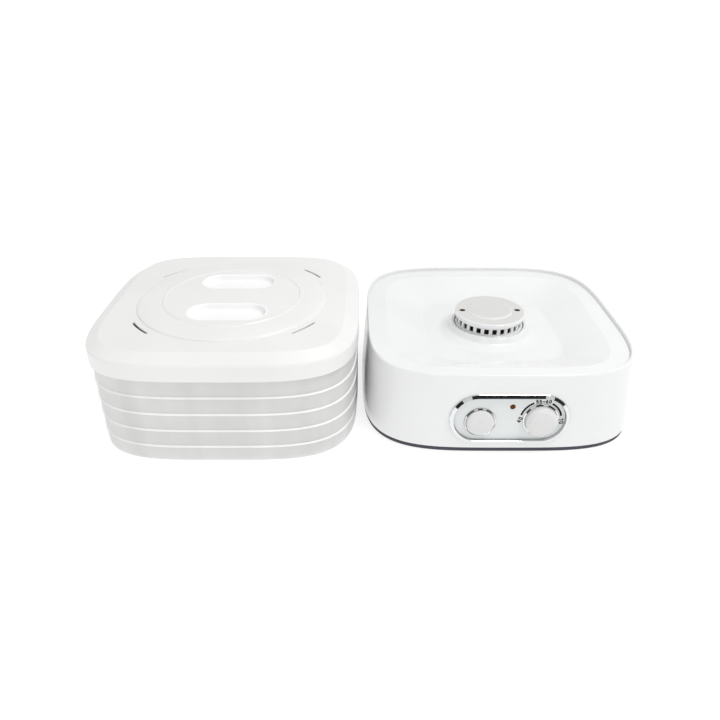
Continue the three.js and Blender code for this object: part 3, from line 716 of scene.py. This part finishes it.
def feet():
    for node in sorted(frame["nodes"]):
        if node.startswith("foot_"):
            x, y, _ = middle(node)
            foot = new_piece(node + "_pad", *round_loft([
                (0, 0.5), (4.6, 0.4, 0.4), (5.4, 0, 0.4), (8, 0, 0.7), (8, 3.2, 0.2), (0, 3.2),
            ], count=48), MATERIALS["rubber"], (x, y, 0))
            finished(foot, "base", "rubber", node)


def gland():
    x, y, z = middle("cord_gland")
    depth = 7.0
    profile = [(3.9, -depth), (5.8, -depth, 0.3), (6.8, -depth + 1.5, 0.4), (6.8, depth - 3, 0.1),
               (9.5, depth - 3, 0.3), (9.5, depth - 1, 0.5), (8.0, depth, 0.6), (3.9, depth, 0.5)]
    vertices, faces = round_loft(profile, closed=True, count=64)
    upright = [(px, pz, py) for px, py, pz in vertices], faces
    piece = new_piece("gland_bush", *upright, MATERIALS["rubber"], (x, y, z))
    return finished(piece, "base", "rubber", "cord_gland")


# ---------------------------------------------------------------- controls

def bezel():
    profile = [(-4.6, -4), (-4.7, 2.4, 0.2), (-4.4, 2.8, 0.2), (-0.6, 1.0, 0.3), (0.1, 0.0, 0.3),
               (0.1, -1.6, 0.1), (-2.6, -1.6), (-2.6, -4)]
    part = stadium_loft(profile, BEZEL_LENGTH, BEZEL_HEIGHT, closed=True, count=160)
    piece = new_piece("bezel_chrome", *on_wall(part), MATERIALS["chrome"])
    return finished(piece, "base", "chrome", "control_bezel")


def panel():
    frame_width = 4.9
    part = stadium_loft([(0, -3.8), (0, -1.5), (-0.4, -1.3)],
                        BEZEL_LENGTH - frame_width, BEZEL_HEIGHT - frame_width, count=160)
    piece = new_piece("panel_plate", *on_wall(part), MATERIALS["panel"])
    holes = ((BUTTON_X, BUTTON_Y, 18.6, 96), (KNOB_X, DIAL_Y, 4.2, 96), (LAMP_X, LAMP_Y, 3.2, 48))
    for x, y, radius, count in holes:
        hole = round_loft([(radius, -6), (radius, 3)], count=count)
        changed(piece, on_wall(moved(hole, (x, y, 0))))
    return finished(piece, "base", "panel", "control_panel")


def trim_ring(name, node, inner, outer, low, high, x, y):
    """A chrome ring round a control, from one height over the wall to another."""
    part = round_loft([
        (inner, low), (outer, low, 0.1), (outer, high - 0.9, 0.15), (inner + 0.25, high, 0.15),
        (inner, high - 0.4, 0.1),
    ], closed=True)
    piece = new_piece(name, *on_wall(moved(part, (x, y, 0))), MATERIALS["chrome"])
    return finished(piece, "base", "chrome", node)


def power_button():
    radius, front = 16.4, 5.6
    part = round_loft([
        (0, -16), (3, -16), (3, -3), (radius - 0.4, -3, 0.2), (radius, -2.4, 0.2),
        (radius, front - 2.6, 1.0), (radius - 3.4, front - 0.7, 1.6),
        (radius * 0.45, front - 0.1, 3.0), (0, front),
    ])
    placed = on_wall(moved(part, (BUTTON_X, BUTTON_Y, 0)))
    piece = new_piece("button_cap", *placed, MATERIALS["knob_white"])
    return finished(piece, "power_button", "knob_white", "power_button")


def temperature_knob():
    radius, front, low = 18.7, 11.0, -0.7
    part = round_loft([
        (0, low), (radius - 0.3, low, 0.2), (radius, low + 0.8, 0.4), (radius, front - 4.6, 1.2),
        (radius - 4.4, front - 0.8, 1.8), (radius * 0.4, front - 0.1, 3.0), (0, front),
    ], count=128)
    centre = (KNOB_X, DIAL_Y, 0)
    piece = new_piece("knob_cap", *on_wall(moved(part, centre)), MATERIALS["knob_white"])
    pointer = bar((-radius + 2.2, 0), (-radius + 7.2, 0), 1.1, 4.0, front - 1.75, 0.25)
    changed(piece, on_wall(moved(pointer, centre)), "UNION")
    bore = round_loft([(3.3, low - 2), (3.3, front - 3.5)], count=40)
    changed(piece, on_wall(moved(bore, centre)))
    return finished(piece, "temperature_control", "knob_white", "temperature_knob")


def lens():
    part = round_loft([(0, -4), (2.9, -4), (2.9, -1.0, 0.2), (2.2, 0.0, 0.5), (0, 0.25)], count=48)
    piece = new_piece("lamp_lens", *on_wall(moved(part, (LAMP_X, LAMP_Y, 0))), MATERIALS["amber"])
    return finished(piece, "base", "amber", "indicator_lens")


def printed_arc(name, radius, start, end):
    """A thin printed line round the dial, from one angle to another, in degrees."""
    width, steps = 2.3, 24
    inner, outer = radius - width / 2, radius + width / 2
    low, high = PRINT_Z, PRINT_Z + PRINT_THICK
    rings = []
    for i in range(steps + 1):
        angle = math.radians(start + (end - start) * i / steps)
        c, s = math.cos(angle), math.sin(angle)
        rings.append([(inner * c, inner * s, low), (outer * c, outer * s, low),
                      (outer * c, outer * s, high), (inner * c, inner * s, high)])
    placed = on_wall(moved(bridge(rings, False), (KNOB_X, DIAL_Y, 0)))
    piece = new_piece(name, *placed, MATERIALS["print"], smooth=False)
    return finished(piece, "base", "panel")


# Each figure's strokes are (closed or not, points), in a box one unit wide and one high.
BOWL = [(0.0, 0.30), (0.15, 0.06), (0.5, 0.0), (0.85, 0.06), (1.0, 0.30), (0.85, 0.54),
        (0.5, 0.60), (0.3, 0.575)]
STROKES = {
    "0": [(True, [(0.5, 1.0), (0.85, 0.93), (1.0, 0.72), (1.0, 0.28), (0.85, 0.07), (0.5, 0.0),
                  (0.15, 0.07), (0.0, 0.28), (0.0, 0.72), (0.15, 0.93)])],
    "4": [(False, [(0.62, 1.05), (-0.1, 0.27), (1.2, 0.27)]),
          (False, [(0.74, 0.95), (0.74, -0.1)])],
    "5": [(False, [(0.95, 1.0), (0.1, 1.0), (0.03, 0.52), (0.5, 0.60), (0.85, 0.54), (1.0, 0.30),
                   (0.85, 0.06), (0.5, 0.0), (0.15, 0.04), (-0.05, 0.16)])],
    "6": [(False, [(0.9, 0.96), (0.55, 1.0), (0.2, 0.84), (0.02, 0.55)] + BOWL)],
    "7": [(False, [(-0.08, 1.0), (1.0, 1.0), (0.4, -0.08)])],
    "-": [(False, [(-0.25, 0.5), (1.25, 0.5)])],
}


def ribbon(points, width, z, closed):
    """(points, faces) of a flat printed stroke along a line, mitred at its corners."""
    points = [Vector(p) for p in points]
    count = len(points)
    top = z + PRINT_THICK
    rings = []
    for i, here in enumerate(points):
        before = (here - points[i - 1]).normalized() if closed or i > 0 else None
        onward = closed or i < count - 1
        after = (points[(i + 1) % count] - here).normalized() if onward else None
        before, after = before or after, after or before
        along = (before + after).normalized()
        across = Vector((-along.y, along.x)) * (width / 2) / max(0.5, along.dot(after))
        low, high = here - across, here + across
        rings.append([(low.x, low.y, z), (high.x, high.y, z),
                      (high.x, high.y, top), (low.x, low.y, top)])
    return bridge(rings, closed)


def printed_number(name, text, angle, radius, height, spin):
    """A number at an angle and radius from the knob's centre, with a spin about its own middle."""
    weight, layer_step = 1.1, 0.005
    tall, wide, step = height - weight, height * 0.62 - weight, height * 0.77
    parts = []
    for place, letter in enumerate(text):
        left = (place - (len(text) - 1) / 2) * step - wide / 2
        for layer, (closed, line) in enumerate(STROKES[letter]):
            points = [(left + x * wide, (y - 0.5) * tall) for x, y in line]
            parts.append(ribbon(points, weight, PRINT_Z - layer_step * layer, closed))
    turn = math.radians(angle)
    at = (KNOB_X + radius * math.cos(turn), DIAL_Y + radius * math.sin(turn), 0)
    part = moved(joined(parts), at, math.radians(spin))
    piece = new_piece(name, *on_wall(part), MATERIALS["print"], smooth=False)
    return finished(piece, "base", "panel")


# ---------------------------------------------------------------- trays and lid

def chord(offset, edge):
    """Half the length of a line across a rounded square at an offset from its middle."""
    return edge * max(0.0, 1 - (abs(offset) / edge) ** SQUARE) ** (1 / SQUARE)


def tray_grid():
    """A tray's floor: bars both ways, left out round the air column, and spokes under them."""
    pitch, width, spokes = 9.3, 2.4, 8
    collar = TRAY_DUCT + 2.0
    parts = []
    rows = int(TRAY_GRID_EDGE / pitch)
    for turn, z in ((0.0, 4.65), (math.pi / 2, 4.5)):
        for row in range(-rows, rows + 1):
            y = row * pitch
            end = chord(abs(y), TRAY_GRID_EDGE + 1.0)
            if end < pitch:
                continue
            spans = [(-end, end)]
            if abs(y) < collar:
                start = math.sqrt(collar ** 2 - y ** 2)
                spans = [(-end, -start), (start, end)]
            for low, high in spans:
                parts.append(moved(bar((low, y), (high, y), width, 1.8, z), turn=turn))
    for i in range(spokes):
        turn = 2 * math.pi * (i + 0.5) / spokes
        end = TRAY_GRID_EDGE * reach(turn, SQUARE)
        parts.append(moved(bar((collar, 0), (end, 0), 1.8, 2.6, 2.9), turn=turn))
    return parts


def tray_mesh():
    """(points, faces) of a tray, its foot at z 0."""
    top = TRAY_PITCH - 0.06
    wall = square_loft([
        (159.0, 0.0, 0.1),
        (159.2, 0.5, 0.2),
        (159.8, 18.4, 0.2),
        (160.3, 18.9, 0.2),
        (160.3, 19.2, 0.2),
        (159.2, 20.8, 0.3),
        (159.0, top, 0.05),
        (155.1, top, 0.2),
        (155.1, top + 2.5, 0.4),
        (153.6, top + 2.5, 0.4),
        (153.6, 20.4, 1.0),
        (157.0, 17.0, 1.5),
        (TRAY_INNER, 5.6, 1.5),
        (TRAY_GRID_EDGE, 5.6, 0.3),
        (TRAY_GRID_EDGE, 3.6, 0.3),
        (TRAY_INNER, 3.6, 0.0),
        (TRAY_INNER, 0.0, 0.3),
    ], count=176, steps=3)
    collar = square_loft([
        (52, 3.6, 0.2, CIRCLE),
        (52, 16, 0.6, CIRCLE),
        (54, 16, 0.6, CIRCLE),
        (54.3, 5.6, 1.2, CIRCLE),
        (58.5, 5.6, 0.3, CIRCLE),
        (58.5, 3.6, 0.3, CIRCLE),
    ], count=96, steps=3)
    return joined([wall, collar] + tray_grid())


def on_highlit_bead(point):
    """Whether a point of a tray lies on the bead round its wall, which is painted whiter as a
    highlight.
    """
    half = (point.x ** 4 + point.y ** 4) ** 0.25
    return half > 158.95 and 18.7 < point.z < 20.95


def trays():
    part = tray_mesh()
    for level in range(TRAY_COUNT):
        node = f"tray_{level + 1}"
        foot = (STACK_X, STACK_Y, level * TRAY_PITCH)
        piece = new_piece(node + "_moulding", *part, MATERIALS["tray"], foot)
        piece.data.materials.append(MATERIALS["tray_edge"])
        # the bead's faces take the whiter tray_edge material, a painted highlight
        for polygon in piece.data.polygons:
            if on_highlit_bead(polygon.center / MM - Vector(foot)):
                polygon.material_index = 1
        finished(piece, node, "tray", node)


def lid():
    """The lid's moulding, and the two white finger cups let into its middle."""
    seat = TRAY_COUNT * TRAY_PITCH
    inner = LID_HALF - 1.6
    disc = LID_DISC_Z
    under = 2.1
    place = (STACK_X, STACK_Y, 0)
    piece = new_piece("lid_moulding", *square_loft([
        (0, disc, 0.0, CIRCLE),
        (LID_RING - 1.6, disc, 0.5, CIRCLE),
        (LID_RING - 0.4, disc + 0.9, 0.4, CIRCLE),
        (LID_RING + 0.4, disc + 0.9, 0.4, CIRCLE),
        (LID_RING + 1.6, disc - 0.1, 0.5, CIRCLE),
        (104, disc - 0.4, 6.0, CIRCLE),
        (115, disc - 1.0, 5.0, CIRCLE),
        (118.8, disc - 1.7, 1.2, CIRCLE),
        (LID_DOME + 0.4, LID_DOME_FOOT, 0.3, CIRCLE),
        (LID_DOME + 2.0, LID_DOME_FOOT + 0.3, 0.5, CIRCLE),
        (LID_PLATEAU, LID_PLATEAU_Z, 2.0, TIGHT_SQUARE),
        (LID_HALF - 1.2, LID_SHOULDER + 0.4, 2.0),
        (LID_HALF, LID_SHOULDER - 2.0, 1.5),
        (LID_HALF, LID_BOTTOM, 0.5),
        (inner, LID_BOTTOM, 0.5),
        (inner, seat, 0.3),
        (TRAY_INNER, seat, 0.3),
        (TRAY_INNER, seat + 3.4, 0.5),
        (inner - 0.6, seat + 5, 1.0),
        (inner - 0.6, LID_SHOULDER - 2, 2.0),
        (LID_PLATEAU - 1, LID_PLATEAU_Z - under, 3.0, TIGHT_SQUARE),
        (LID_DOME, LID_DOME_FOOT - under, 0.0, CIRCLE),
        (104, disc - 0.6 - under, 0.0, CIRCLE),
        (0, disc - under, 0.0, CIRCLE),
    ], closed=False, steps=4), MATERIALS["lid"], place)
    clearance, brim = 1.75, disc + 0.15
    opening = stadium_loft([(clearance, disc - 8), (clearance, disc + 8)], GRIP_LENGTH, GRIP_WIDTH)
    cup = stadium_loft([
        (-8, GRIP_FLOOR), (-2.4, GRIP_FLOOR + 0.4, 5.0), (-0.4, disc - 1.4, 1.0),
        (0.6, brim, 0.7), (2.2, brim, 0.3), (2.2, disc + 0.02), (1.6, disc - 0.1),
        (1.6, GRIP_FLOOR + 0.4, 1.0), (-1, GRIP_FLOOR - 1.6, 1.0), (-8, GRIP_FLOOR - 1.6),
    ], GRIP_LENGTH, GRIP_WIDTH)
    for side, name in ((-1, "grip_front"), (1, "grip_back")):
        shift = (0, side * GRIP_Y, 0)
        changed(piece, moved(opening, shift), place=place)
        finished(new_piece(name, *moved(cup, shift), MATERIALS["grip"], place), "lid", "lid")
    changed(piece, joined(vent_cutters()), place=place)
    return finished(piece, "lid", "lid", "lid")


def vent_cutters():
    """Cutters of the four curved vents, with rounded edges."""
    top = LID_PLATEAU_Z - 0.9
    flares = ((top - 8, -0.3), (top - 1.1, -0.3), (top - 0.5, 0.0), (top + 0.05, 0.75),
              (top + 3, 1.8))
    cutters = []
    for centre in VENT_ANGLES:
        rings = [arc_outline(VENT_WIDTH / 2 + flare, centre, z) for z, flare in flares]
        cutters.append(bridge(rings, False))
    return cutters


def arc_outline(half, centre, z):
    """Points round a vent: its outer side, one round end, its inner side and the other end."""
    steps = 16
    outer, inner = VENT_RADIUS + half, VENT_RADIUS - half
    first, last = centre - VENT_ARC / 2, centre + VENT_ARC / 2
    ring = []
    for k in range(steps + 1):
        angle = first + VENT_ARC * k / steps
        ring.append((outer * math.cos(angle), outer * math.sin(angle), z))
    ring += round_end(half, last, 0, z)
    for k in range(steps + 1):
        angle = last - VENT_ARC * k / steps
        ring.append((inner * math.cos(angle), inner * math.sin(angle), z))
    return ring + round_end(half, first, math.pi, z)


def round_end(half, angle, start, z):
    """Points of a vent's round end, which starts that far round from the end's own angle."""
    steps = 8
    x, y = VENT_RADIUS * math.cos(angle), VENT_RADIUS * math.sin(angle)
    points = []
    for k in range(1, steps):
        spin = angle + start + math.pi * k / steps
        points.append((x + half * math.cos(spin), y + half * math.sin(spin), z))
    return points


# ---------------------------------------------------------------- stage, in metres

FLOOR_REACH, FLOOR_GLOW, SKY_GLOW = 60.0, 0.78, 0.73
FLAG_Y, FLAG_LEAN, FLAG_HEIGHT = -2.6, 0.6, 3.4
FLAGS = ((-4.0, -0.8, 3.4), (-0.05, 1.0, 3.4), (1.0, 1.9, 0.9), (1.9, 4.0, 3.4))  # left, right, top
CAMERA_FROM_BASE = (-175.25, -795.6, 484.9)  # millimetres
CAMERA_TILT, CAMERA_LENS, CAMERA_SENSOR = 0.5202, 32.5, 36.0


def staged(name, corners, material):
    """A flat four-sided piece of the studio, which is no part of the object."""
    mesh = bpy.data.meshes.new(name)
    mesh.from_pydata(corners, [], [(0, 1, 2, 3)])
    mesh.materials.append(material)
    piece = bpy.data.objects.new(name, mesh)
    bpy.context.scene.collection.objects.link(piece)
    return piece


def studio():
    """A wide level floor, lit until it is nearly white, and black flags that only gloss can see."""
    paper = moulded("floor_paper", (0.3, 0.3, 0.3), 0.9, variation=0.01, relief=0.0)
    glow = paper.node_tree.nodes["Principled BSDF"]
    glow.inputs["Emission Color"].default_value = (1, 1, 1, 1)
    glow.inputs["Emission Strength"].default_value = FLOOR_GLOW
    far = FLOOR_REACH
    staged("studio_floor", [(-far, -far, 0), (far, -far, 0), (far, far, 0), (-far, far, 0)], paper)
    cloth = moulded("flag_cloth", (0.01, 0.01, 0.012), 0.9, variation=0.2, relief=0.0)
    for number, (left, right, top) in enumerate(FLAGS):
        back, foot = FLAG_Y + FLAG_LEAN * top / FLAG_HEIGHT, 0.02
        flag = staged(f"studio_flag_{number + 1}", [
            (left, FLAG_Y, foot), (right, FLAG_Y, foot), (right, back, top), (left, back, top),
        ], cloth)
        for kind in ("camera", "diffuse", "transmission", "shadow"):
            setattr(flag, "visible_" + kind, False)


def area_light(name, place, target, size, power, glossy=True):
    """A rectangular light at a place, facing a target, that gloss may or may not see."""
    light = bpy.data.lights.new(name, "AREA")
    light.shape = "RECTANGLE"
    light.size, light.size_y = size
    light.energy = power
    lamp = bpy.data.objects.new(name, light)
    lamp.location = place
    lamp.rotation_euler = (Vector(target) - Vector(place)).to_track_quat("-Z", "Y").to_euler()
    lamp.visible_glossy = glossy
    bpy.context.scene.collection.objects.link(lamp)


def lights():
    world = bpy.data.worlds.new("studio")
    bpy.context.scene.world = world
    world.use_nodes = True
    background = world.node_tree.nodes["Background"]
    background.inputs["Color"].default_value = (1, 1, 1, 1)
    background.inputs["Strength"].default_value = SKY_GLOW
    area_light("front", (-0.3, -1.6, 0.9), (0.0, 0.0, 0.08), (2.4, 1.2), 0.5, glossy=False)
    area_light("low", (-0.6, -1.0, 0.25), (0.02, -0.1, 0.06), (0.5, 0.3), 0.8, glossy=False)
    area_light("overhead", (0.7, -0.35, 1.6), (0.0, 0.0, 0.08), (0.7, 0.6), 13)


def camera():
    data = bpy.data.cameras.new("camera")
    data.sensor_width = CAMERA_SENSOR
    data.lens = CAMERA_LENS
    view = bpy.data.objects.new("camera", data)
    x, y, z = CAMERA_FROM_BASE
    view.location = ((BASE_X + x) * MM, (BASE_Y + y) * MM, z * MM)
    view.rotation_euler = (math.pi / 2 - CAMERA_TILT, 0.0, 0.0)
    bpy.context.scene.collection.objects.link(view)
    bpy.context.scene.camera = view


# ---------------------------------------------------------------- build

bpy.context.scene.view_settings.view_transform = "Standard"
camera()
dress_frame()
outer_shell()
inner_dish()
turret_cage()
turret_cap()
bottom_plate()
feet()
gland()
screws()
bezel()
panel()
trim_ring("button_trim", "button_ring", 16.8, 18.4, -3.8, 0.9, BUTTON_X, BUTTON_Y)
trim_ring("knob_trim", "knob_ring", 19.1, 21.0, -1.0, 1.1, KNOB_X, DIAL_Y)
power_button()
temperature_knob()
lens()
printed_number("dial_low", "40", 181, 24.4, 5.4, 68)
printed_number("dial_middle", "55-60", 87, 23.9, 4.9, 0)
printed_number("dial_high", "70", -5, 24.4, 5.6, -78)
printed_arc("dial_arc_left", 24.0, 166, 114)
printed_arc("dial_arc_right", 24.0, 61, 12)
trays()
lid()
studio()
lights()
